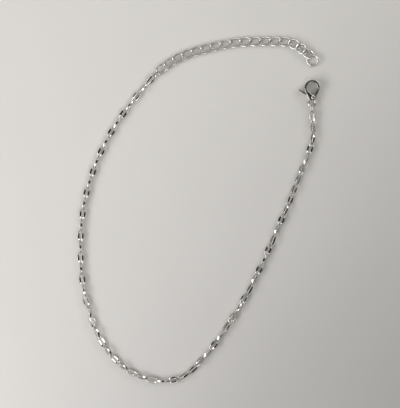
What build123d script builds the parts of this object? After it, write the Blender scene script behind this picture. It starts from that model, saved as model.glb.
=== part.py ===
from build123d import *
from math import cos, radians, sin
import os

# Chain anklet lying open on a table: a lip-link chain with a jump ring at each end, an
# extender of twisted curb links with an end ring, and a lobster clasp with a sprung lever.
# Millimetres and degrees.  The table is z = 0, X runs right and Y up across it.

# ---------------------------------------------------------------- driving dimensions
PLAY = 0.04  # gap where one link bears on the next

# Lip link: pressed, two domed lips beside a slot
LIP_COUNT = 63
LIP_PITCH = 3.524
LIP_BAR = 0.37  # end bar, measured along the link
LIP_WIDTH = 2.07
LIP_MIDDLE = 0.76  # thickness half way along
LIP_END = 0.40  # thickness at the end bars
LIP_SLOT = 0.60  # width of the slot
LIP_TIP = 0.90  # width where the rounded tip starts
LIP_TIP_RISE = 0.30  # length of the rounded tip
STRAND_ENDS = [13, 25, 40, 56, LIP_COUNT]  # the last link of each strand
BEARING = 0.26  # side of the small block that joins two end bars in a strand

# Twisted curb link of round wire
CURB_COUNT = 17
CURB_PITCH = 3.20
CURB_WIRE = 0.58
CURB_SPAN = 2.78  # width between wire centres half way along
CURB_END_SPAN = 2.20  # width between wire centres at the end bends
CURB_END_RADIUS = 0.84
CURB_SIDE_RADIUS = 2.6
CURB_TWIST = 35  # roll of each end bend, one way at the start and the other at the end

# Round rings
CHAIN_RING = {"radius": 1.18, "wire": 0.45}
CLASP_RING = {"radius": 1.16, "wire": 0.46}
END_RING = {"radius": 1.75, "wire": 0.60}

# Lobster clasp, measured from the centre of its eye, Y towards the hook's crown
CLASP_THICK = 2.60
HEAD_RADIUS = 2.52
EYE_RADIUS = 1.75
EYE_FOOT = (0.10, -1.85)  # centre of the eye's narrow foot
EYE_FOOT_RADIUS = 0.45
NECK = (0.0, -2.90)
NECK_RADIUS = 1.30
TAIL = (0.0, -5.00)
TAIL_RADIUS = 1.40
TAIL_THICK = 0.94
TAIL_EYE_RADIUS = 0.82
TAIL_STEM = (0.0, -4.00)
TAIL_STEM_RADIUS = 0.90
CLASP_ROUNDING = 0.33
TAIL_ROUNDING = 0.26

# Lever, its slot and its pin
PIVOT = (0.30, -3.10)
PIN_RADIUS = 0.35
PIN_FIT = 0.03  # clearance of the pin in its holes
LEVER_THICK = 0.80
SLOT_THICK = 0.96
BOSS_RADIUS = 0.62
GATE_REACH = 3.19  # from the pin to the gate's tip
NOSE_GAP = 0.08
GATE_INSET = 0.06  # the gate's face behind the head's outline
ARM_WIDTH = 0.62
ARM_ANGLE = 152
ARM_REACH = 4.75  # from the pin to the middle of the thumb pad
PAD_RADIUS = 0.50
PAD_THICK = 1.30
PAD_ROUNDING = 0.20
SLOT_SIDE = 0.42  # from the arm's middle to the slot's upper wall
SLOT_CORNER = 1.0  # from the pin to where that wall turns towards the eye
SLOT_FLOOR = -3.80
GATE_FROM, GATE_SPAN = 12, 68  # the gate's sector, seen from the pin
GAP_FROM, GAP_SPAN = 20, 50
CHEEK_ANGLE, CHEEK_REACH = 12, 2.0  # where the cheeks' edge leaves the head

# ---------------------------------------------------------------- how the chain lies
START = (-14.36, 43.28)  # where the first lip link bears on the chain ring

# Lip chain from the extender's end to the clasp's end.  heading: direction in plan.
# twist: roll on top of the quarter turn between neighbours.  height: of the link's axis.
LIP_LIE = [
    # link, heading, twist, height
    (1, -132.2, -30, 1.24),
    (3, -128.3, -12, 1.16),
    (6, -123.3, 0, 1.11),
    (8, -117.5, 0, 1.11),
    (12, -107.0, 0, 1.11),
    (16, -94.5, 0, 1.11),
    (20, -86.0, 0, 1.11),
    (24, -73.5, -18, 1.11),
    (26, -65.5, -28, 1.11),
    (28, -53.5, -36, 1.11),
    (31, -30.0, -38, 1.11),
    (33, -11.0, -22, 1.11),
    (34, 0.5, -9, 1.11),
    (35, 14.0, 2, 1.11),
    (36, 32.0, 18, 1.11),
    (37, 42.0, 36, 1.11),
    (39, 51.0, 72, 1.11),
    (40, 53.25, 82, 1.11),
    (41, 55.5, 76, 1.11),
    (43, 57.5, 8, 1.11),
    (45, 60.0, 4, 1.11),
    (48, 65.0, 86, 1.11),
    (50, 65.75, 92, 1.11),
    (52, 66.5, 149, 1.11),
    (53, 66.8, 178, 1.11),
    (55, 67.5, 216, 1.11),
    (58, 67.5, 232, 1.13),
    (60, 72.0, 272, 1.22),
    (62, 91.0, 316, 1.34),
    (63, 95.0, 340, 1.36),
]

# Extender from the chain ring to its free end.  roll: of the whole link.
# slack: how much nearer the neighbours lie than when pulled tight.
CURB_LIE = [
    # link, heading, roll, height, slack
    (1, 37.5, 0, 1.18, 0),
    (2, 34.5, 0, 1.07, 0),
    (3, 25.5, 0, 0.97, 0),
    (5, 15.8, 0, 0.87, 0),
    (8, 10.9, 0, 0.742, 0),
    (10, 2.8, 0, 0.733, 0),
    (12, 1.2, 0, 0.733, 0),
    (14, -5.0, 0, 0.78, 0),
    (15, -26.0, 0, 0.87, 0.20),
    (16, -41.0, -4, 0.99, 0.50),
    (17, -30.0, -12, 1.04, 0.20),
]
# slack: how far the ring is short of pulling tight on each neighbour
CHAIN_RING_LIE = {"heading": 43, "roll": -58, "height": 1.24, "dip": 0, "slack": 0.06}
CLASP_RING_LIE = {"heading": 92, "roll": 72, "height": 1.34, "dip": 0, "slack": 0.11}
END_RING_LIE = {"heading": -100, "roll": 12, "height": 0.82, "dip": 12, "slack": 0.30}


# ---------------------------------------------------------------- laying out
def lie(table, link):
    """One link's values, read between the table's rows."""
    for row, following in zip(table, table[1:]):
        if link <= following[0]:
            share = (link - row[0]) / (following[0] - row[0])
            return [a + (b - a) * share for a, b in zip(row[1:], following[1:])]


def level(heading, length):
    """A step of that length along the table."""
    return Vector(length * cos(radians(heading)), length * sin(radians(heading)), 0)


def link_plane(centre, heading, roll, dip=0):
    """Plane of one link: X along it, Z out of its face.  A positive roll tips the face to
    the right of the heading and a positive dip lowers the far end."""
    ahead = level(heading, 1)
    right = ahead.cross(Vector(0, 0, 1))
    along = ahead * cos(radians(dip)) - Vector(0, 0, 1) * sin(radians(dip))
    up = right.cross(along)
    face = up * cos(radians(roll)) + right * sin(radians(roll))
    return Plane(origin=centre, x_dir=along, z_dir=face)


def at_height(point, height):
    return Vector(point.X, point.Y, height)


def lay(joint, table, count, pitch):
    """Centre, heading and roll of links laid end to end from a joint, and the last joint."""
    places = []
    for link in range(1, count + 1):
        heading, roll, height, *slack = lie(table, link)
        step = level(heading, pitch - sum(slack))
        places.append((at_height(joint + step / 2, height), heading, roll))
        joint += step
    return places, joint


def ring_step(ring, rests):
    """From the joint with one neighbour to the ring's centre."""
    return level(rests["heading"], ring["radius"] - ring["wire"] / 2 - rests["slack"])


def ring_plane(joint, ring, rests):
    centre = at_height(joint + ring_step(ring, rests), rests["height"])
    return link_plane(centre, rests["heading"], rests["roll"], rests["dip"])


start = Vector(*START, 0)
lip_places, lip_finish = lay(start, LIP_LIE, LIP_COUNT, LIP_PITCH)
lip_planes = [
    link_plane(centre, heading, twist + 90 * number)
    for number, (centre, heading, twist) in enumerate(lip_places)
]

curb_start = start + ring_step(CHAIN_RING, CHAIN_RING_LIE) * 2
curb_places, curb_finish = lay(curb_start, CURB_LIE, CURB_COUNT, CURB_PITCH)

tail_joint = lip_finish + ring_step(CLASP_RING, CLASP_RING_LIE) * 2
tail_eye = tail_joint + Vector(0, TAIL_EYE_RADIUS, 0)
clasp_plane = Plane(at_height(tail_eye - Vector(*TAIL), CLASP_THICK / 2))


def around_pivot(angle, distance, aside=0):
    """A point of the clasp, from the pin: along an angle, then to the left of it."""
    along = Vector(*PIVOT) + level(angle, distance)
    return tuple(along + level(angle + 90, aside))[:2]


# ---------------------------------------------------------------- lip link
lip_length = LIP_PITCH + PLAY + 2 * LIP_BAR

with BuildPart() as lip_link:
    with BuildSketch():
        with BuildLine():
            tip_start = lip_length / 2 - LIP_TIP_RISE
            side = ThreePointArc(
                (-tip_start, LIP_TIP / 2), (0, LIP_WIDTH / 2), (tip_start, LIP_TIP / 2)
            )
            tip = ThreePointArc(
                (tip_start, LIP_TIP / 2), (lip_length / 2, 0), (tip_start, -LIP_TIP / 2)
            )
            mirror(side, about=Plane.XZ)
            mirror(tip, about=Plane.YZ)
        make_face()
        Rectangle(LIP_PITCH + PLAY, LIP_SLOT, mode=Mode.SUBTRACT)
    extrude(amount=LIP_MIDDLE / 2, both=True)
    with BuildSketch(Plane.XZ):
        with BuildLine():
            dome = ThreePointArc(
                (-lip_length / 2, LIP_END / 2), (0, LIP_MIDDLE / 2), (lip_length / 2, LIP_END / 2)
            )
            mirror(dome, about=Plane.XZ)
            Line(dome @ 0, (-lip_length / 2, -LIP_END / 2))
            Line(dome @ 1, (lip_length / 2, -LIP_END / 2))
        make_face()
    extrude(amount=LIP_WIDTH, both=True, mode=Mode.INTERSECT)

os.makedirs("parts", exist_ok=True)

first = 0
for number, last in enumerate(STRAND_ENDS, 1):
    with BuildPart() as strand:
        with Locations(*lip_planes[first:last]):
            add(lip_link.part)
        joints = [
            (here.origin + after.origin) / 2
            for here, after in zip(lip_planes[first : last - 1], lip_planes[first + 1 : last])
        ]
        with Locations(*joints):
            Box(BEARING, BEARING, BEARING)
    strand.part.label = f"lip_chain_{number}"
    export_step(strand.part, f"parts/lip_chain_{number}.step")
    first = last

# ---------------------------------------------------------------- extender
curb_reach = (CURB_PITCH + CURB_WIRE + PLAY) / 2
end_y = CURB_END_SPAN / 2 * cos(radians(CURB_TWIST))
end_z = CURB_END_SPAN / 2 * sin(radians(CURB_TWIST))

# Half of the link from end to end; the other half is the same, turned half way round.
with BuildPart() as curb_side:
    with BuildLine() as side_route:
        FilletPolyline(
            (-curb_reach, 0, 0),
            (-curb_reach, end_y, end_z),
            (0, CURB_SPAN / 2, 0),
            (curb_reach, end_y, -end_z),
            (curb_reach, 0, 0),
            radius=[CURB_END_RADIUS, CURB_SIDE_RADIUS, CURB_END_RADIUS],
        )
    with BuildSketch(Plane(origin=side_route.line @ 0, z_dir=side_route.line % 0)):
        Circle(CURB_WIRE / 2)
    sweep(path=side_route.line)

with BuildPart() as curb_link:
    add(curb_side.part)
    add(curb_side.part, rotation=(180, 0, 0))

for number, (centre, heading, roll) in enumerate(curb_places, 1):
    with BuildPart() as extender_link:
        with Locations(link_plane(centre, heading, roll)):
            add(curb_link.part)
    extender_link.part.label = f"extender_link_{number:02d}"
    export_step(extender_link.part, f"parts/extender_link_{number:02d}.step")

# ---------------------------------------------------------------- rings
for label, joint, ring, rests in (
    ("extender_jump_ring", start, CHAIN_RING, CHAIN_RING_LIE),
    ("extender_end_ring", curb_finish, END_RING, END_RING_LIE),
    ("clasp_jump_ring", lip_finish, CLASP_RING, CLASP_RING_LIE),
):
    with BuildPart(ring_plane(joint, ring, rests)) as round_ring:
        Torus(ring["radius"], ring["wire"] / 2)
    round_ring.part.label = label
    export_step(round_ring.part, f"parts/{label}.step")

# ---------------------------------------------------------------- clasp outlines
with BuildSketch() as head_outline:
    Circle(HEAD_RADIUS)
    with Locations(NECK):
        Circle(NECK_RADIUS)
    make_hull()

with BuildSketch() as eye_outline:
    Circle(EYE_RADIUS)
    with Locations(EYE_FOOT):
        Circle(EYE_FOOT_RADIUS)
    make_hull()

# The gap that the gate closes: its rim is the nose's end, its foot the edge of the cheeks.
with BuildSketch() as gate_gap:
    with BuildLine():
        rim = CenterArc(PIVOT, GATE_REACH + NOSE_GAP, GAP_FROM, GAP_SPAN)
        Polyline(rim @ 1, EYE_FOOT, around_pivot(CHEEK_ANGLE, CHEEK_REACH), rim @ 0)
    make_face()

# ---------------------------------------------------------------- clasp body
beyond = 2 * HEAD_RADIUS  # further out than any wall of the clasp

with BuildPart() as clasp_tail:
    with BuildSketch(clasp_plane):
        with Locations(TAIL):
            Circle(TAIL_RADIUS)
        with Locations(TAIL_STEM):
            Circle(TAIL_STEM_RADIUS)
        make_hull()
        with Locations(TAIL):
            Circle(TAIL_EYE_RADIUS, mode=Mode.SUBTRACT)
    extrude(amount=TAIL_THICK / 2, both=True)
    fillet(clasp_tail.faces().filter_by(Axis.Z).edges(), TAIL_ROUNDING)

with BuildPart() as clasp_body:
    with BuildSketch(clasp_plane):
        add(head_outline.sketch)
        add(eye_outline.sketch, mode=Mode.SUBTRACT)
        add(gate_gap.sketch, mode=Mode.SUBTRACT)
    extrude(amount=CLASP_THICK / 2, both=True)
    fillet(clasp_body.faces().filter_by(Axis.Z).edges(), CLASP_ROUNDING)
    add(clasp_tail.part)
    with BuildSketch(clasp_plane):
        with BuildLine():
            Polyline(
                around_pivot(ARM_ANGLE, ARM_REACH, -SLOT_SIDE),
                around_pivot(ARM_ANGLE, SLOT_CORNER, -SLOT_SIDE),
                EYE_FOOT,
                (beyond, EYE_FOOT[1]),
                (beyond, SLOT_FLOOR),
                (-beyond, SLOT_FLOOR),
                close=True,
            )
        make_face()
    extrude(amount=SLOT_THICK / 2, both=True, mode=Mode.SUBTRACT)
    with BuildSketch(clasp_plane):
        with Locations(PIVOT):
            Circle(PIN_RADIUS + PIN_FIT)
    extrude(amount=CLASP_THICK, both=True, mode=Mode.SUBTRACT)
clasp_body.part.label = "clasp_body"
export_step(clasp_body.part, "parts/clasp_body.step")

# ---------------------------------------------------------------- clasp lever and pin
with BuildPart() as clasp_lever:
    with BuildSketch(clasp_plane):
        add(head_outline.sketch)
        offset(amount=-GATE_INSET)
        add(eye_outline.sketch, mode=Mode.SUBTRACT)
        with BuildLine():
            gate_end = CenterArc(PIVOT, GATE_REACH, GATE_FROM, GATE_SPAN)
            Polyline(gate_end @ 1, PIVOT, gate_end @ 0)
        make_face(mode=Mode.INTERSECT)
        with Locations(PIVOT):
            Circle(BOSS_RADIUS)
        with BuildLine(mode=Mode.PRIVATE):
            arm = Line(PIVOT, around_pivot(ARM_ANGLE, ARM_REACH))
        SlotArc(arm, ARM_WIDTH)
    extrude(amount=LEVER_THICK / 2, both=True)
    with BuildSketch(clasp_plane):
        with Locations(around_pivot(ARM_ANGLE, ARM_REACH)):
            Circle(PAD_RADIUS)
    extrude(amount=PAD_THICK / 2, both=True)
    fillet(clasp_lever.faces().filter_by(Axis.Z).sort_by(Axis.Z)[-1].edges(), PAD_ROUNDING)
    fillet(clasp_lever.faces().filter_by(Axis.Z).sort_by(Axis.Z)[0].edges(), PAD_ROUNDING)
    with BuildSketch(clasp_plane):
        with Locations(PIVOT):
            Circle(PIN_RADIUS + PIN_FIT)
    extrude(amount=LEVER_THICK, both=True, mode=Mode.SUBTRACT)
clasp_lever.part.label = "clasp_lever"
export_step(clasp_lever.part, "parts/clasp_lever.step")

with BuildPart() as clasp_pin:
    with BuildSketch(clasp_plane):
        with Locations(PIVOT):
            Circle(PIN_RADIUS)
    extrude(amount=CLASP_THICK / 2, both=True)
clasp_pin.part.label = "clasp_pin"
export_step(clasp_pin.part, "parts/clasp_pin.step")
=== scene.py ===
"""Chain anklet lying open on a table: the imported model, finished as polished steel.

The links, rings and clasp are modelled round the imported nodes, in their frame and in metres.
"""

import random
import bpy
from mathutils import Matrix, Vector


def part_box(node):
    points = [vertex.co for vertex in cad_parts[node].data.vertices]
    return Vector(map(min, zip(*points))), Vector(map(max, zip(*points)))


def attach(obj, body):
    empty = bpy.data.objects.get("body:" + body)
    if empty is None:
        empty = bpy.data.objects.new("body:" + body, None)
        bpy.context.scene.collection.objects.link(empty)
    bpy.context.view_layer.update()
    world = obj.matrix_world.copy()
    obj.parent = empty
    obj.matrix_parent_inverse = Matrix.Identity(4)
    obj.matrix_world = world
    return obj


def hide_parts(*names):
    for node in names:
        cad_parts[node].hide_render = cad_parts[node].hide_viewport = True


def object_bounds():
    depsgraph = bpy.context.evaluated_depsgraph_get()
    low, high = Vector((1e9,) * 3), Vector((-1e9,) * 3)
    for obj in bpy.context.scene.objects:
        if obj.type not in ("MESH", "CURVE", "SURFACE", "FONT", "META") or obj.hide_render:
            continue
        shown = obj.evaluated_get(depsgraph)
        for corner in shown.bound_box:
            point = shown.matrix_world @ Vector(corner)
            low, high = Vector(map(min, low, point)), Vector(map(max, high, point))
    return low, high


bl_info = {
    "name": "Chain Anklet",
    "version": (1, 0, 0),
    "blender": (4, 5, 0),
    "location": "View3D > Sidebar > Anklet",
    "description": "Models the links, rings and clasp of a polished chain anklet",
    "category": "Add Mesh",
}

from math import copysign, cos, pi, radians, sin, sqrt, tan

import bmesh
import bpy
from mathutils import Matrix, Vector

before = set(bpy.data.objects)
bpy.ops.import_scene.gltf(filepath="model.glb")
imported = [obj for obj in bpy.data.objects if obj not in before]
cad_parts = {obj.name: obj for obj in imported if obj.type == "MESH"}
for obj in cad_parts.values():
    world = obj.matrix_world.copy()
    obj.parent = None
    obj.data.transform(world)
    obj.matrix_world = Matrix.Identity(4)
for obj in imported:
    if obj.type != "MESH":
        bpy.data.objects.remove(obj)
CAD_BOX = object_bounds()

MM = 0.001
UP = Vector((0, 0, 1))
SEED = 7  # of the links' tones

# Lip chain, from the extender's jump ring to the clasp's, in degrees and millimetres.
# heading: anticlockwise from X, as for everything here that lies on the table.
# twist: roll on top of the quarter turn between neighbours.  height: of the link's axis.
LIP_LIE = (
    # link, heading, twist, height
    (1, -132.2, -30, 1.24),
    (3, -128.3, -12, 1.16),
    (6, -123.3, 0, 1.11),
    (8, -117.5, 0, 1.11),
    (12, -107.0, 0, 1.11),
    (16, -94.5, 0, 1.11),
    (20, -86.0, 0, 1.11),
    (24, -73.5, -18, 1.11),
    (26, -65.5, -28, 1.11),
    (28, -53.5, -36, 1.11),
    (31, -30.0, -38, 1.11),
    (33, -11.0, -22, 1.11),
    (34, 0.5, -9, 1.11),
    (35, 14.0, 2, 1.11),
    (36, 32.0, 18, 1.11),
    (37, 42.0, 36, 1.11),
    (39, 51.0, 72, 1.11),
    (40, 53.25, 82, 1.11),
    (41, 55.5, 76, 1.11),
    (43, 57.5, 8, 1.11),
    (45, 60.0, 4, 1.11),
    (48, 65.0, 86, 1.11),
    (50, 65.75, 92, 1.11),
    (52, 66.5, 149, 1.11),
    (53, 66.8, 178, 1.11),
    (55, 67.5, 216, 1.11),
    (58, 67.5, 232, 1.13),
    (60, 72.0, 272, 1.22),
    (62, 91.0, 316, 1.34),
    (63, 95.0, 340, 1.36),
)
LIP_STRANDS = (13, 25, 40, 56, 63)  # the last link of each packed strand

# Extender, from its jump ring to its free end.  roll: of the whole link.
# slack: how much nearer the neighbours lie than when pulled tight.
CURB_LIE = (
    # link, heading, roll, height, slack
    (1, 37.5, 0, 1.18, 0),
    (2, 34.5, 0, 1.07, 0),
    (3, 25.5, 0, 0.97, 0),
    (5, 15.8, 0, 0.87, 0),
    (8, 10.9, 0, 0.742, 0),
    (10, 2.8, 0, 0.733, 0),
    (12, 1.2, 0, 0.733, 0),
    (14, -5.0, 0, 0.78, 0),
    (15, -26.0, 0, 0.87, 0.20),
    (16, -41.0, -4, 0.99, 0.50),
    (17, -30.0, -12, 1.04, 0.20),
)
CURB_COUNT = 17

# Rings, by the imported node, in millimetres and degrees.  dip: how far the far side is lowered.
RINGS = {
    "extender_jump_ring": {"radius": 1.18, "wire": 0.45, "heading": 43, "roll": -58, "dip": 0},
    "clasp_jump_ring": {"radius": 1.16, "wire": 0.456, "heading": 92, "roll": 72, "dip": 0},
    "extender_end_ring": {"radius": 1.75, "wire": 0.60, "heading": -100, "roll": 12, "dip": 12},
}
JUMP_RINGS = ("extender_jump_ring", "clasp_jump_ring")  # these are cut through once
JUMP_RING_SLACK = 0.06  # how far short of pulling tight the extender's ring lies

CAST_MERGE = 1e-4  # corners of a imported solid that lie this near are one, in millimetres
DIMPLE_LEAN = 0.3  # the least Z of a normal at which the dimple presses the surface in

# The steels.  film: how much of it lies on the metal.  patch, grain: scale of the film's
# patches and of the grain, per metre.  relief: depth of the grain, in millimetres.
STEELS = {
    "Pressed link steel": {"film": 0.45, "patch": 700, "grain": 9000, "relief": 0.02},
    "Drawn wire steel": {"film": 0.35, "patch": 700, "grain": 9000, "relief": 0.02},
    "Ring steel": {"film": 0.30, "patch": 700, "grain": 9000, "relief": 0.02},
    "Cast clasp steel": {"film": 0.50, "patch": 450, "grain": 5000, "relief": 0.04},
}
FILM_EDGE = (0.42, 0.66)  # noise values at which a patch of film starts and is full
FILM_SPREAD = (0.3, 1.8)  # least and most film on one link, as shares of its steel's film
GRAIN_HAZE = 0.06  # roughness that the grain adds
TABLE_MOTTLE = 0.015  # how much darker and lighter the table's mottle is

# The middle of the view, from the middle of the anklet, in millimetres.
VIEW_SHIFT = (0.46, 1.93, 0)
SENSOR_WIDTH = 36  # millimetres

TABLE_REACH = 3.0  # from the middle of the table to its edges, in metres
TABLE_DROP = 0.01  # how far the table is below the links, in millimetres

# The lights: bearing on the table and rise above it in degrees, the rest in metres.
WINDOW = {
    "bearing": 200,
    "rise": 37,
    "distance": 0.46,
    "size": (0.46, 0.19),
    "tint": (1.0, 0.975, 0.98),
}
FAR_WALL = {
    "bearing": 35,
    "rise": 36,
    "distance": 1.0,
    "size": (0.6, 0.35),
    "tint": (1.0, 0.98, 0.94),
}
# A dark screen that stands near the anklet.
SCREEN = {"bearing": 322, "distance": 0.108, "width": 0.22, "height": 0.15}
SCREEN_COLOUR = (0.03, 0.03, 0.03, 1)

# The room's light by the sine of the rise above the horizon, with a dark hood overhead.
ROOM = (
    # sine, glow
    (0.0, 0.10),
    (0.20, 0.22),
    (0.40, 0.36),
    (0.60, 0.40),
    (0.78, 0.42),
    (0.85, 0.72),
    (0.92, 0.72),
    (0.945, 0.03),
    (1.0, 0.03),
)
# A round ceiling light, in degrees.  core, edge: how far from its middle the glow starts to
# fade and is gone.
CEILING_LIGHT = {"bearing": 300, "rise": 54, "glow": 3.2, "core": 8, "edge": 18}
ROOM_TINT = (1, 0.985, 0.945, 1)
BACKGROUND = (0.62, 0.61, 0.59, 1)  # what the camera sees past the table


# ------------------------------------------------------------------ sizes and colours
def length(name, description, millimetres):
    """A length, given in millimetres and kept in metres."""
    return bpy.props.FloatProperty(
        name=name, description=description, default=millimetres * MM, unit="LENGTH", precision=5
    )


def colour(name, description, value):
    """A colour, in linear light."""
    return bpy.props.FloatVectorProperty(
        name=name, description=description, default=value, subtype="COLOR", min=0, max=1
    )


def share(name, description, value):
    """A share of a whole, from 0 to 1."""
    return bpy.props.FloatProperty(name=name, description=description, default=value, min=0, max=1)


def whole(name, description, value, least):
    """A whole number, and the least that still makes the shape."""
    return bpy.props.IntProperty(name=name, description=description, default=value, min=least)


class LipLinkSizes(bpy.types.PropertyGroup):
    """One lip link"""

    pitch: length("Pitch", "From link to link along the chain", 3.524)
    play: length("Play", "Gap where one link bears on the next", 0.04)
    bar: length("End bar", "Thickness of the link's end, measured along it", 0.37)
    width: length("Width", "Across both lips", 2.07)
    slot: length("Slot", "Width of the slot between the lips", 0.60)
    middle: length("Middle", "Thickness of the lips half way along", 0.76)
    end: length("End", "Thickness of the link at its ends", 0.26)
    tip_width: length("Tip width", "Width where the rounded tip starts", 0.90)
    tip_rise: length("Tip length", "Length of the rounded tip", 0.30)
    flat: share("Flat", "Share of the half length over which the lips are flat", 0.42)
    foot: share("Foot", "Share of the half length at which the lips have sunk", 0.72)
    neck: share("Neck", "How full the lips still are there", 0.42)
    tip_fall: whole("Tip fall", "How late the lips fall away to the tips, more is later", 6, 2)
    fullness: bpy.props.FloatProperty(
        name="Fullness", description="2 is an ellipse, more is a flatter dome", default=9, min=2
    )
    stations: whole("Stations", "Sections round the link", 56, 16)
    points: whole("Points", "Points round each section", 24, 8)


class WireSizes(bpy.types.PropertyGroup):
    """The extender's curb links and the rings"""

    pitch: length("Pitch", "From link to link along the extender", 3.20)
    play: length("Play", "Gap where one link bears on the next", 0.04)
    wire: length("Wire", "Diameter of the curb links' wire", 0.58)
    span: length("Span", "Between wire centres half way along", 2.78)
    end_span: length("End span", "Between wire centres at the end bends", 2.20)
    end_radius: length("End radius", "Radius of the end bends", 0.84)
    side_radius: length("Side radius", "Radius of the bowed sides", 2.6)
    twist: bpy.props.FloatProperty(
        name="Twist", description="Roll of each end bend", default=radians(35), unit="ROTATION"
    )
    cut: length("Cut", "Width of the cut in a jump ring", 0.035)
    bend_steps: whole("Bend steps", "Steps round each end bend", 8, 2)
    side_steps: whole("Side steps", "Steps round each bowed side", 5, 2)
    ring_steps: whole("Ring steps", "Steps round a ring", 56, 16)
    points: whole("Points", "Points round the wire", 18, 8)


class ClaspSizes(bpy.types.PropertyGroup):
    """The clasp's cast pieces"""

    voxel: length("Voxel", "Size of the faces of the cast pieces", 0.055)
    thickness: length("Thickness", "Of the clasp's head, from face to face", 2.60)
    core: length("Core", "Half of the thickness that keeps the packed shape", 0.62)
    recess: length("Recess", "Radius of the dimple round the pin", 0.62)
    recess_depth: length("Recess depth", "Depth of the dimple round the pin", 0.16)
    softening: whole("Softening", "Times that the castings' edges are softened", 3, 0)


class FinishSettings(bpy.types.PropertyGroup):
    """The polished steel"""

    steel: colour("Steel", "Colour of the polished steel", (0.74, 0.73, 0.71))
    film: colour("Film", "Colour of the thin film that skin leaves", (0.58, 0.55, 0.50))
    polish: share("Polish", "Roughness of the clean polished metal", 0.06)
    smear: share("Smear", "Roughness under the film", 0.19)


class StageSettings(bpy.types.PropertyGroup):
    """The table, the camera and the lights"""

    table: colour("Table", "Colour of the table top", (0.73, 0.722, 0.708))
    camera_height: length("Camera height", "Camera above the table", 360)
    view_size: length("View", "Length of table that the view's long side takes in", 132.0)
    window_power: bpy.props.FloatProperty(
        name="Window", description="Power of the window's light in watts", default=1.25, min=0
    )
    wall_power: bpy.props.FloatProperty(
        name="Far wall", description="Power of the far wall's light in watts", default=1.7, min=0
    )


# ------------------------------------------------------------------ laying out
def lie(table, link):
    """One link's values, read between the table's rows."""
    for row, following in zip(table, table[1:]):
        if link <= following[0]:
            part = (link - row[0]) / (following[0] - row[0])
            return [a + (b - a) * part for a, b in zip(row[1:], following[1:])]


def level(heading, distance):
    """A step of that length along the table."""
    return Vector((distance * cos(radians(heading)), distance * sin(radians(heading)), 0))


def towards(place):
    """The direction from the table to a place of a given bearing and rise."""
    rise = radians(place["rise"])
    return level(place["bearing"], cos(rise)) + UP * sin(rise)


def placed(centre, heading, roll, dip=0):
    """Matrix of a link: X along it and Z out of its face.  A positive roll tips the face to
    the right of the heading and a positive dip lowers the far end."""
    ahead = level(heading, 1)
    right = ahead.cross(UP)
    along = ahead * cos(radians(dip)) - UP * sin(radians(dip))
    face = right.cross(along) * cos(radians(roll)) + right * sin(radians(roll))
    turn = Matrix((along, face.cross(along), face)).transposed().to_4x4()
    return Matrix.Translation(centre) @ turn


def halfway(low, high):
    """The point halfway between two corners of a box."""
    return (Vector(low) + Vector(high)) / 2


def middle_of(node):
    """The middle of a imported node."""
    return halfway(*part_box(node))


def jump_ring_joint(side):
    """Where the extender's jump ring bears on the lip chain, side -1, or the extender, side 1."""
    ring = RINGS["extender_jump_ring"]
    reach = (ring["radius"] - ring["wire"] / 2 - JUMP_RING_SLACK) * MM
    return middle_of("extender_jump_ring") + level(ring["heading"], side * reach)


def laid(joint, table, count, pitch, quarter_turns):
    """Matrices of links laid end to end from a joint, each so many quarter turns on from the
    last."""
    matrices = []
    for link in range(1, count + 1):
        heading, roll, height, *slack = lie(table, link)
        step = level(heading, pitch - sum(slack) * MM)
        centre = joint + step / 2
        centre.z = height * MM
        matrices.append(placed(centre, heading, roll + quarter_turns * 90 * (link - 1)))
        joint = joint + step
    return matrices


# ------------------------------------------------------------------ mesh helpers
def hoop(shape, matrix, points, fullness=2):
    """Adds a closed section, a unit circle or fuller placed by a matrix, and gives its edges."""
    made = bmesh.ops.create_circle(shape, segments=points, radius=1)["verts"]
    for vert in made:
        vert.co.x = copysign(abs(vert.co.x) ** (2 / fullness), vert.co.x)
        vert.co.y = copysign(abs(vert.co.y) ** (2 / fullness), vert.co.y)
    bmesh.ops.transform(shape, matrix=matrix, verts=made)
    return list(dict.fromkeys(edge for vert in made for edge in vert.link_edges))


def section(centre, tangent, outward, half_width, half_thickness):
    """Matrix of a section across a bar, its X towards the outside of the loop."""
    across = (outward - tangent * outward.dot(tangent)).normalized()
    over = tangent.cross(across)
    sides = (across * half_width, over * half_thickness, tangent)
    return Matrix.Translation(centre) @ Matrix(sides).transposed().to_4x4()


def ring_of(shape, hoops):
    """Skins the hoops, and closes the last to the first."""
    for edges, following in zip(hoops, hoops[1:] + hoops[:1]):
        bmesh.ops.bridge_loops(shape, edges=edges + following)


def template(name, shape):
    """A mesh of the shape, with its faces outwards."""
    bmesh.ops.recalc_face_normals(shape, faces=shape.faces)
    mesh = bpy.data.meshes.new(name)
    shape.to_mesh(mesh)
    shape.free()
    return mesh


def repeated(pattern, matrices):
    """One mesh of a pattern at each matrix, each copy with its own tone."""
    shape = bmesh.new()
    tone = shape.faces.layers.float.new("tone")
    for matrix in matrices:
        verts, faces = len(shape.verts), len(shape.faces)
        shape.from_mesh(pattern)
        shape.verts.ensure_lookup_table()
        shape.faces.ensure_lookup_table()
        bmesh.ops.transform(shape, matrix=matrix, verts=shape.verts[verts:])
        value = random.random()
        for face in shape.faces[faces:]:
            face[tone] = value
    return shape


def finished(name, shape, material, nodes, body="anklet"):
    """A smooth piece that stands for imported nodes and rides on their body."""
    for face in shape.faces:
        face.smooth = True
    mesh = bpy.data.meshes.new(name)
    shape.to_mesh(mesh)
    shape.free()
    mesh.materials.append(material)
    piece = bpy.data.objects.new(name, mesh)
    bpy.context.scene.collection.objects.link(piece)
    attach(piece, body)
    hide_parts(*nodes)
    return piece


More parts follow.
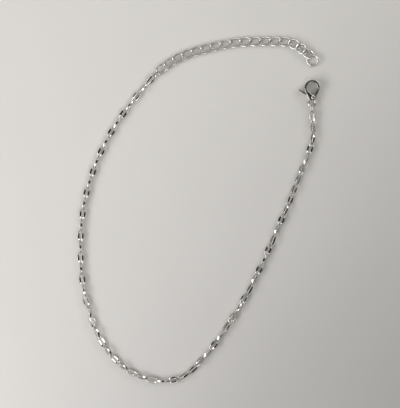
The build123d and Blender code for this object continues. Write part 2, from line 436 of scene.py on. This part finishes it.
# ------------------------------------------------------------------ lip link
def lip_half_width(sizes, along):
    """Half of the link's outside width at a distance from its middle: a bowed side that
    ends in a rounded tip."""
    tip = (sizes.pitch + sizes.play) / 2 + sizes.bar
    shoulder = tip - sizes.tip_rise
    half, tip_half = sizes.width / 2, sizes.tip_width / 2
    if abs(along) <= shoulder:
        bow = (shoulder**2 + (half - tip_half) ** 2) / (2 * (half - tip_half))
        return half - bow + sqrt(bow**2 - along**2)
    nose = (tip_half**2 + sizes.tip_rise**2) / (2 * sizes.tip_rise)
    return sqrt(max(nose**2 - (abs(along) - tip + nose) ** 2, 0))


def slot_half_width(sizes, along):
    """Half of the slot's width at a distance from the middle: straight with round ends."""
    half = sizes.slot / 2
    past = max(abs(along) - (sizes.pitch + sizes.play) / 2 + half, 0)
    return sqrt(max(half**2 - past**2, 0))


def lip_swell(sizes, along):
    """How full the lips are at a share of the half length, from 1 where flat to 0 at the tips."""
    past = min(max((along - sizes.flat) / (sizes.foot - sizes.flat), 0), 1)
    knee = past * past * (3 - 2 * past)
    return (1 - knee * (1 - sizes.neck)) * (1 - along**sizes.tip_fall)


def lip_link(sizes):
    """One link: a loop whose sides are domed lips and whose ends are thin bars."""
    shape = bmesh.new()
    inside = (sizes.pitch + sizes.play) / 2
    outside = inside + sizes.bar
    hoops = []
    for station in range(sizes.stations):
        angle = 2 * pi * station / sizes.stations
        side = copysign(1, sin(angle))
        outer = Vector((outside * cos(angle), 0, 0))
        inner = Vector((inside * cos(angle), 0, 0))
        outer.y = side * lip_half_width(sizes, outer.x)
        inner.y = side * slot_half_width(sizes, inner.x)
        outward = outer - inner
        swell = lip_swell(sizes, abs(outer.x) / outside)
        thickness = sizes.end + (sizes.middle - sizes.end) * swell
        tangent = UP.cross(outward).normalized()
        place = section((outer + inner) / 2, tangent, outward, outward.length / 2, thickness / 2)
        fullness = 2 + (sizes.fullness - 2) * swell
        hoops.append(hoop(shape, place, sizes.points, fullness))
    ring_of(shape, hoops)
    return template("lip_link", shape)


# ------------------------------------------------------------------ wire
def rounded_route(corners, radii, steps):
    """Points and tangents round a closed polygon whose corners are arcs."""
    route = []
    following = corners[1:] + corners[:1]
    for index, (corner, radius, parts) in enumerate(zip(corners, radii, steps)):
        before = (corner - corners[index - 1]).normalized()
        after = (following[index] - corner).normalized()
        bend = before.angle(after)
        start = corner - before * radius * tan(bend / 2)
        inward = (after - before * before.dot(after)).normalized()
        for step in range(parts + 1):
            angle = bend * step / parts
            point = start + before * radius * sin(angle) + inward * radius * (1 - cos(angle))
            route.append((point, before * cos(angle) + inward * sin(angle)))
    return route


def curb_link(sizes):
    """A closed link of round wire whose two end bends are rolled opposite ways."""
    reach = (sizes.pitch + sizes.wire + sizes.play) / 2
    end_y = sizes.end_span / 2 * cos(sizes.twist)
    end_z = sizes.end_span / 2 * sin(sizes.twist)
    one_side = [
        Vector((-reach, end_y, end_z)),
        Vector((0, sizes.span / 2, 0)),
        Vector((reach, end_y, -end_z)),
    ]
    other_side = [Vector((-point.x, -point.y, point.z)) for point in one_side]
    radii = [sizes.end_radius, sizes.side_radius, sizes.end_radius] * 2
    steps = [sizes.bend_steps, sizes.side_steps, sizes.bend_steps] * 2
    shape = bmesh.new()
    hoops = []
    for point, tangent in rounded_route(one_side + other_side, radii, steps):
        place = section(point, tangent, tangent.cross(UP), sizes.wire / 2, sizes.wire / 2)
        hoops.append(hoop(shape, place, sizes.points))
    ring_of(shape, hoops)
    return template("curb_link", shape)


def wire_ring(sizes, node, cut):
    """A ring of round wire.  A jump ring has a narrow cut, opposite where it bears."""
    ring = RINGS[node]
    radius, half_wire = ring["radius"] * MM, ring["wire"] * MM / 2
    opening = cut / radius
    shape = bmesh.new()
    ahead, outward = Vector((1, 0, 0)), Vector((0, 1, 0))
    start = section(outward * radius, ahead, outward, half_wire, half_wire)
    edges = hoop(shape, start, sizes.points)
    verts = list(dict.fromkeys(vert for edge in edges for vert in edge.verts))
    bmesh.ops.rotate(shape, verts=verts, matrix=Matrix.Rotation(opening / 2, 3, "Z"))
    bmesh.ops.spin(
        shape,
        geom=verts + edges,
        cent=(0, 0, 0),
        axis=UP,
        angle=2 * pi - opening,
        steps=sizes.ring_steps,
        use_merge=opening == 0,
    )
    bmesh.ops.holes_fill(shape, edges=[edge for edge in shape.edges if edge.is_boundary])
    bmesh.ops.recalc_face_normals(shape, faces=shape.faces)
    matrix = placed(middle_of(node), ring["heading"], ring["roll"], ring["dip"])
    bmesh.ops.transform(shape, matrix=matrix, verts=shape.verts)
    return shape


# ------------------------------------------------------------------ clasp
def cast_copy(node, sizes):
    """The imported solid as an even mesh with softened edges, worked in millimetres."""
    shape = bmesh.new()
    shape.from_mesh(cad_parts[node].data)
    bmesh.ops.scale(shape, vec=(1 / MM,) * 3, verts=shape.verts)
    bmesh.ops.remove_doubles(shape, verts=shape.verts, dist=CAST_MERGE)
    rough = bpy.data.objects.new(node + "_rough", template(node + "_rough", shape))
    bpy.context.scene.collection.objects.link(rough)
    remesh = rough.modifiers.new("even", "REMESH")
    remesh.mode = "VOXEL"
    remesh.voxel_size = sizes.voxel / MM
    graph = bpy.context.evaluated_depsgraph_get()
    even = bpy.data.meshes.new_from_object(rough.evaluated_get(graph))
    bpy.data.objects.remove(rough)
    shape = bmesh.new()
    shape.from_mesh(even)
    bpy.data.meshes.remove(even)
    for _ in range(sizes.softening):
        bmesh.ops.smooth_vert(
            shape,
            verts=shape.verts,
            factor=0.5,
            use_axis_x=True,
            use_axis_y=True,
            use_axis_z=True,
        )
    bmesh.ops.scale(shape, vec=(MM,) * 3, verts=shape.verts)
    return shape


def squared_up(shape, middle, core, half):
    """Widens the flat faces of a casting, so that a narrower rounding is left round them."""
    for vert in shape.verts:
        offset = vert.co.z - middle
        rise = (abs(offset) - core) / (half - core)
        if 0 < rise < 1:
            vert.co.z = middle + copysign(core + (half - core) * (1 - (1 - rise) ** 2), offset)


def dimple(shape, centre, radius, depth):
    """Presses a round dimple into both faces."""
    for vert in shape.verts:
        offset = vert.co - centre
        near = 1 - min(offset.to_2d().length / radius, 1)
        if near > 0 and abs(vert.normal.z) > DIMPLE_LEAN:
            vert.co.z -= copysign(depth * sqrt(near), offset.z)


# ------------------------------------------------------------------ finish
def set_inputs(node, values):
    """Sets constants on a node's input sockets."""
    for socket, value in values.items():
        node.inputs[socket].default_value = value


def new_node(tree, kind, inputs=None, **settings):
    """A node with its settings and the constants on its input sockets."""
    node = tree.nodes.new(kind)
    for key, value in settings.items():
        setattr(node, key, value)
    set_inputs(node, inputs or {})
    return node


def new_material(name, inputs):
    """A material with constants on its shader's sockets."""
    material = bpy.data.materials.new(name)
    material.use_nodes = True
    set_inputs(material.node_tree.nodes["Principled BSDF"], inputs)
    return material


def handled_metal():
    """Node group: the patches of film and the fine grain that handling leaves on metal."""
    group = bpy.data.node_groups.new("Handled metal", "ShaderNodeTree")
    for name, kind in (
        ("Vector", "Vector"),
        ("Metal", "Color"),
        ("Film", "Color"),
        ("Amount", "Float"),
        ("Polish", "Float"),
        ("Smear", "Float"),
        ("Patch scale", "Float"),
        ("Grain scale", "Float"),
    ):
        group.interface.new_socket(name, in_out="INPUT", socket_type="NodeSocket" + kind)
    for name, kind in (("Color", "Color"), ("Roughness", "Float"), ("Height", "Float")):
        group.interface.new_socket(name, in_out="OUTPUT", socket_type="NodeSocket" + kind)

    link = group.links.new
    given = new_node(group, "NodeGroupInput").outputs
    result = new_node(group, "NodeGroupOutput").inputs

    patches = new_node(group, "ShaderNodeTexNoise", {"Detail": 3})
    link(given["Vector"], patches.inputs["Vector"])
    link(given["Patch scale"], patches.inputs["Scale"])
    edge = new_node(
        group,
        "ShaderNodeMapRange",
        {"From Min": FILM_EDGE[0], "From Max": FILM_EDGE[1]},
        interpolation_type="SMOOTHSTEP",
    )
    link(patches.outputs["Fac"], edge.inputs["Value"])
    filmed = new_node(group, "ShaderNodeMath", operation="MULTIPLY")
    link(edge.outputs["Result"], filmed.inputs[0])
    link(given["Amount"], filmed.inputs[1])

    tint = new_node(group, "ShaderNodeMix", data_type="RGBA")
    link(filmed.outputs["Value"], tint.inputs["Factor"])
    link(given["Metal"], tint.inputs["A"])
    link(given["Film"], tint.inputs["B"])
    link(tint.outputs["Result"], result["Color"])

    grain = new_node(group, "ShaderNodeTexNoise", {"Detail": 4})
    link(given["Vector"], grain.inputs["Vector"])
    link(given["Grain scale"], grain.inputs["Scale"])
    link(grain.outputs["Fac"], result["Height"])

    rough = new_node(group, "ShaderNodeMix", data_type="FLOAT")
    link(filmed.outputs["Value"], rough.inputs["Factor"])
    link(given["Polish"], rough.inputs["A"])
    link(given["Smear"], rough.inputs["B"])
    uneven = new_node(group, "ShaderNodeMath", {1: GRAIN_HAZE}, operation="MULTIPLY_ADD")
    link(grain.outputs["Fac"], uneven.inputs[0])
    link(rough.outputs["Result"], uneven.inputs[2])
    link(uneven.outputs["Value"], result["Roughness"])
    return group


def steel(name, finish, own_tone=False):
    """One of the steels.  With tones of their own, some links have more film than others."""
    recipe = STEELS[name]
    material = new_material(name, {"Metallic": 1})
    tree = material.node_tree
    link = tree.links.new
    shader = tree.nodes["Principled BSDF"]
    place = new_node(tree, "ShaderNodeTexCoord")
    handled = new_node(
        tree,
        "ShaderNodeGroup",
        {
            "Metal": (*finish.steel, 1),
            "Film": (*finish.film, 1),
            "Amount": recipe["film"],
            "Polish": finish.polish,
            "Smear": finish.smear,
            "Patch scale": recipe["patch"],
            "Grain scale": recipe["grain"],
        },
        node_tree=bpy.data.node_groups.get("Handled metal") or handled_metal(),
    )
    link(place.outputs["Object"], handled.inputs["Vector"])
    if own_tone:
        tone = new_node(tree, "ShaderNodeAttribute", attribute_name="tone")
        least, most = (recipe["film"] * part for part in FILM_SPREAD)
        varied = new_node(tree, "ShaderNodeMapRange", {"To Min": least, "To Max": most})
        link(tone.outputs["Fac"], varied.inputs["Value"])
        link(varied.outputs["Result"], handled.inputs["Amount"])
    bump = new_node(tree, "ShaderNodeBump", {"Strength": 0.35, "Distance": recipe["relief"] * MM})
    link(handled.outputs["Height"], bump.inputs["Height"])
    link(handled.outputs["Color"], shader.inputs["Base Color"])
    link(handled.outputs["Roughness"], shader.inputs["Roughness"])
    link(bump.outputs["Normal"], shader.inputs["Normal"])
    return material


def table_top(settings):
    """Matte pale table top with a faint mottle."""
    material = new_material("Table top", {"Roughness": 0.55, "Specular IOR Level": 0.25})
    tree = material.node_tree
    link = tree.links.new
    place = new_node(tree, "ShaderNodeTexCoord")
    mottle = new_node(tree, "ShaderNodeTexNoise", {"Scale": 40, "Detail": 5})
    darker = (*((1 - TABLE_MOTTLE) * part for part in settings.table), 1)
    lighter = (*((1 + TABLE_MOTTLE) * part for part in settings.table), 1)
    shades = new_node(tree, "ShaderNodeMix", {"A": darker, "B": lighter}, data_type="RGBA")
    link(place.outputs["Object"], mottle.inputs["Vector"])
    link(mottle.outputs["Fac"], shades.inputs["Factor"])
    link(shades.outputs["Result"], tree.nodes["Principled BSDF"].inputs["Base Color"])
    return material


# ------------------------------------------------------------------ stage
def lay_table(settings):
    """The table top, a hair below the links."""
    shape = bmesh.new()
    bmesh.ops.create_grid(shape, x_segments=1, y_segments=1, size=TABLE_REACH)
    bmesh.ops.translate(shape, vec=(0, 0, -TABLE_DROP * MM), verts=shape.verts)
    floor = bpy.data.objects.new("table_top", template("table_top", shape))
    floor.data.materials.append(table_top(settings))
    bpy.context.scene.collection.objects.link(floor)


def hang_camera(settings):
    """The camera, which looks straight down at the anklet."""
    lens = bpy.data.cameras.new("camera")
    lens.sensor_width = SENSOR_WIDTH
    lens.lens = lens.sensor_width * settings.camera_height / settings.view_size
    camera = bpy.data.objects.new("camera", lens)
    camera.location = halfway(*CAD_BOX) + Vector(VIEW_SHIFT) * MM
    camera.location.z = settings.camera_height
    bpy.context.scene.collection.objects.link(camera)
    bpy.context.scene.camera = camera


def soft_light(name, place, power):
    """A wide soft light that faces the anklet."""
    light = bpy.data.lights.new(name, "AREA")
    light.shape = "RECTANGLE"
    light.size, light.size_y = place["size"]
    light.energy = power
    light.color = place["tint"]
    lamp = bpy.data.objects.new(name, light)
    away = towards(place)
    lamp.location = away * place["distance"]
    lamp.rotation_euler = away.to_track_quat("Z", "Y").to_euler()
    lamp.visible_camera = False
    bpy.context.scene.collection.objects.link(lamp)


def stand_screen():
    """A dark screen at one side, which shades the table a little."""
    width, height = SCREEN["width"], SCREEN["height"]
    shape = bmesh.new()
    bmesh.ops.create_grid(shape, x_segments=1, y_segments=1, size=0.5)
    bmesh.ops.scale(shape, vec=(height, width, 1), verts=shape.verts)
    upright = Matrix.Rotation(radians(90), 4, "Y")
    turned = Matrix.Rotation(radians(SCREEN["bearing"]), 4, "Z")
    bmesh.ops.transform(shape, matrix=turned @ upright, verts=shape.verts)
    base = level(SCREEN["bearing"], SCREEN["distance"]) + UP * height / 2
    bmesh.ops.translate(shape, vec=base, verts=shape.verts)
    cloth_panel = bpy.data.objects.new("screen", template("screen", shape))
    cloth = new_material("Screen cloth", {"Base Color": SCREEN_COLOUR, "Roughness": 1})
    cloth_panel.data.materials.append(cloth)
    cloth_panel.visible_camera = False
    bpy.context.scene.collection.objects.link(cloth_panel)


def height_ramp(tree, rows):
    """A ramp of grey values by the sine of the rise above the horizon."""
    node = new_node(tree, "ShaderNodeValToRGB")
    ramp = node.color_ramp
    while len(ramp.elements) < len(rows):
        ramp.elements.new(0.5)
    for element, (sine, glow) in zip(ramp.elements, rows):
        element.position = sine
        element.color = (glow, glow, glow, 1)
    return node


def light_room():
    """The room's light: dim walls, a ceiling light and a dark hood overhead."""
    world = bpy.data.worlds.new("room")
    bpy.context.scene.world = world
    world.use_nodes = True
    tree = world.node_tree
    link = tree.links.new
    way = new_node(tree, "ShaderNodeTexCoord")
    parts = new_node(tree, "ShaderNodeSeparateXYZ")
    link(way.outputs["Generated"], parts.inputs["Vector"])
    walls = height_ramp(tree, ROOM)
    link(parts.outputs["Z"], walls.inputs["Fac"])

    nearness = new_node(
        tree, "ShaderNodeVectorMath", {1: towards(CEILING_LIGHT)}, operation="DOT_PRODUCT"
    )
    link(way.outputs["Generated"], nearness.inputs[0])
    glow = new_node(
        tree,
        "ShaderNodeMapRange",
        {
            "From Min": cos(radians(CEILING_LIGHT["edge"])),
            "From Max": cos(radians(CEILING_LIGHT["core"])),
            "To Max": CEILING_LIGHT["glow"],
        },
        interpolation_type="SMOOTHSTEP",
    )
    link(nearness.outputs["Value"], glow.inputs["Value"])
    total = new_node(tree, "ShaderNodeMath", operation="ADD")
    link(walls.outputs["Color"], total.inputs[0])
    link(glow.outputs["Result"], total.inputs[1])
    tint = new_node(
        tree,
        "ShaderNodeMix",
        {"Factor": 1, "B": ROOM_TINT},
        data_type="RGBA",
        blend_type="MULTIPLY",
    )
    link(total.outputs["Value"], tint.inputs["A"])

    path = new_node(tree, "ShaderNodeLightPath")
    seen = new_node(tree, "ShaderNodeMix", {"B": BACKGROUND}, data_type="RGBA")
    link(path.outputs["Is Camera Ray"], seen.inputs["Factor"])
    link(tint.outputs["Result"], seen.inputs["A"])
    link(seen.outputs["Result"], tree.nodes["Background"].inputs["Color"])


# ------------------------------------------------------------------ operators
class ANKLET_OT_lip_chain(bpy.types.Operator):
    """Model the lip links, one piece for each packed strand"""

    bl_idname = "anklet.lip_chain"
    bl_label = "Lip Chain"

    def execute(self, context):
        sizes = context.scene.anklet_lip_link
        material = steel("Pressed link steel", context.scene.anklet_finish, own_tone=True)
        links = LIP_STRANDS[-1]
        matrices = laid(jump_ring_joint(-1), LIP_LIE, links, sizes.pitch, quarter_turns=1)
        pattern = lip_link(sizes)
        first = 0
        for number, last in enumerate(LIP_STRANDS, 1):
            strand = repeated(pattern, matrices[first:last])
            finished(f"lip_links_{number}", strand, material, [f"lip_chain_{number}"])
            first = last
        return {"FINISHED"}


class ANKLET_OT_extender(bpy.types.Operator):
    """Model the extender's twisted curb links, a piece each"""

    bl_idname = "anklet.extender"
    bl_label = "Extender"

    def execute(self, context):
        sizes = context.scene.anklet_wire
        material = steel("Drawn wire steel", context.scene.anklet_finish, own_tone=True)
        matrices = laid(jump_ring_joint(1), CURB_LIE, CURB_COUNT, sizes.pitch, quarter_turns=0)
        pattern = curb_link(sizes)
        for number, matrix in enumerate(matrices, 1):
            link = repeated(pattern, [matrix])
            finished(f"curb_link_{number:02d}", link, material, [f"extender_link_{number:02d}"])
        return {"FINISHED"}


class ANKLET_OT_rings(bpy.types.Operator):
    """Model the two jump rings and the extender's end ring"""

    bl_idname = "anklet.rings"
    bl_label = "Rings"

    def execute(self, context):
        sizes = context.scene.anklet_wire
        material = steel("Ring steel", context.scene.anklet_finish)
        for node in RINGS:
            cut = sizes.cut if node in JUMP_RINGS else 0
            finished(node + "_wire", wire_ring(sizes, node, cut), material, [node])
        return {"FINISHED"}


class ANKLET_OT_clasp(bpy.types.Operator):
    """Model the clasp's cast body, its lever and its pin"""

    bl_idname = "anklet.clasp"
    bl_label = "Clasp"

    def execute(self, context):
        sizes = context.scene.anklet_clasp
        material = steel("Cast clasp steel", context.scene.anklet_finish)
        pin = middle_of("clasp_pin")
        body = cast_copy("clasp_body", sizes)
        squared_up(body, pin.z, sizes.core, sizes.thickness / 2)
        dimple(body, pin, sizes.recess, sizes.recess_depth)
        finished("clasp_casting", body, material, ["clasp_body"])
        lever = cast_copy("clasp_lever", sizes)
        finished("clasp_thumb_lever", lever, material, ["clasp_lever"], body="lever")
        rivet = cast_copy("clasp_pin", sizes)
        finished("clasp_rivet", rivet, material, ["clasp_pin"])
        return {"FINISHED"}


class ANKLET_OT_stage(bpy.types.Operator):
    """Set up the table top, the camera, the lights, the screen and the room"""

    bl_idname = "anklet.stage"
    bl_label = "Stage"

    def execute(self, context):
        settings = context.scene.anklet_stage
        context.scene.view_settings.view_transform = "Standard"
        lay_table(settings)
        hang_camera(settings)
        soft_light("window", WINDOW, settings.window_power)
        soft_light("far_wall", FAR_WALL, settings.wall_power)
        stand_screen()
        light_room()
        return {"FINISHED"}


OPERATORS = (
    ANKLET_OT_lip_chain,
    ANKLET_OT_extender,
    ANKLET_OT_rings,
    ANKLET_OT_clasp,
    ANKLET_OT_stage,
)


class ANKLET_PT_panel(bpy.types.Panel):
    """The anklet's pieces, in the order that they are made"""

    bl_idname = "ANKLET_PT_panel"
    bl_label = "Chain Anklet"
    bl_space_type = "VIEW_3D"
    bl_region_type = "UI"
    bl_category = "Anklet"

    def draw(self, context):
        for operator in OPERATORS:
            self.layout.operator(operator.bl_idname)


SETTINGS = {
    "anklet_lip_link": LipLinkSizes,
    "anklet_wire": WireSizes,
    "anklet_clasp": ClaspSizes,
    "anklet_finish": FinishSettings,
    "anklet_stage": StageSettings,
}
CLASSES = (*SETTINGS.values(), *OPERATORS, ANKLET_PT_panel)


def register():
    for group in CLASSES:
        bpy.utils.register_class(group)
    for name, group in SETTINGS.items():
        setattr(bpy.types.Scene, name, bpy.props.PointerProperty(type=group))


def unregister():
    for name in SETTINGS:
        delattr(bpy.types.Scene, name)
    for group in reversed(CLASSES):
        bpy.utils.unregister_class(group)


def main():
    random.seed(SEED)
    register()
    bpy.ops.anklet.lip_chain()
    bpy.ops.anklet.extender()
    bpy.ops.anklet.rings()
    bpy.ops.anklet.clasp()
    bpy.ops.anklet.stage()


if __name__ == "__main__":
    main()
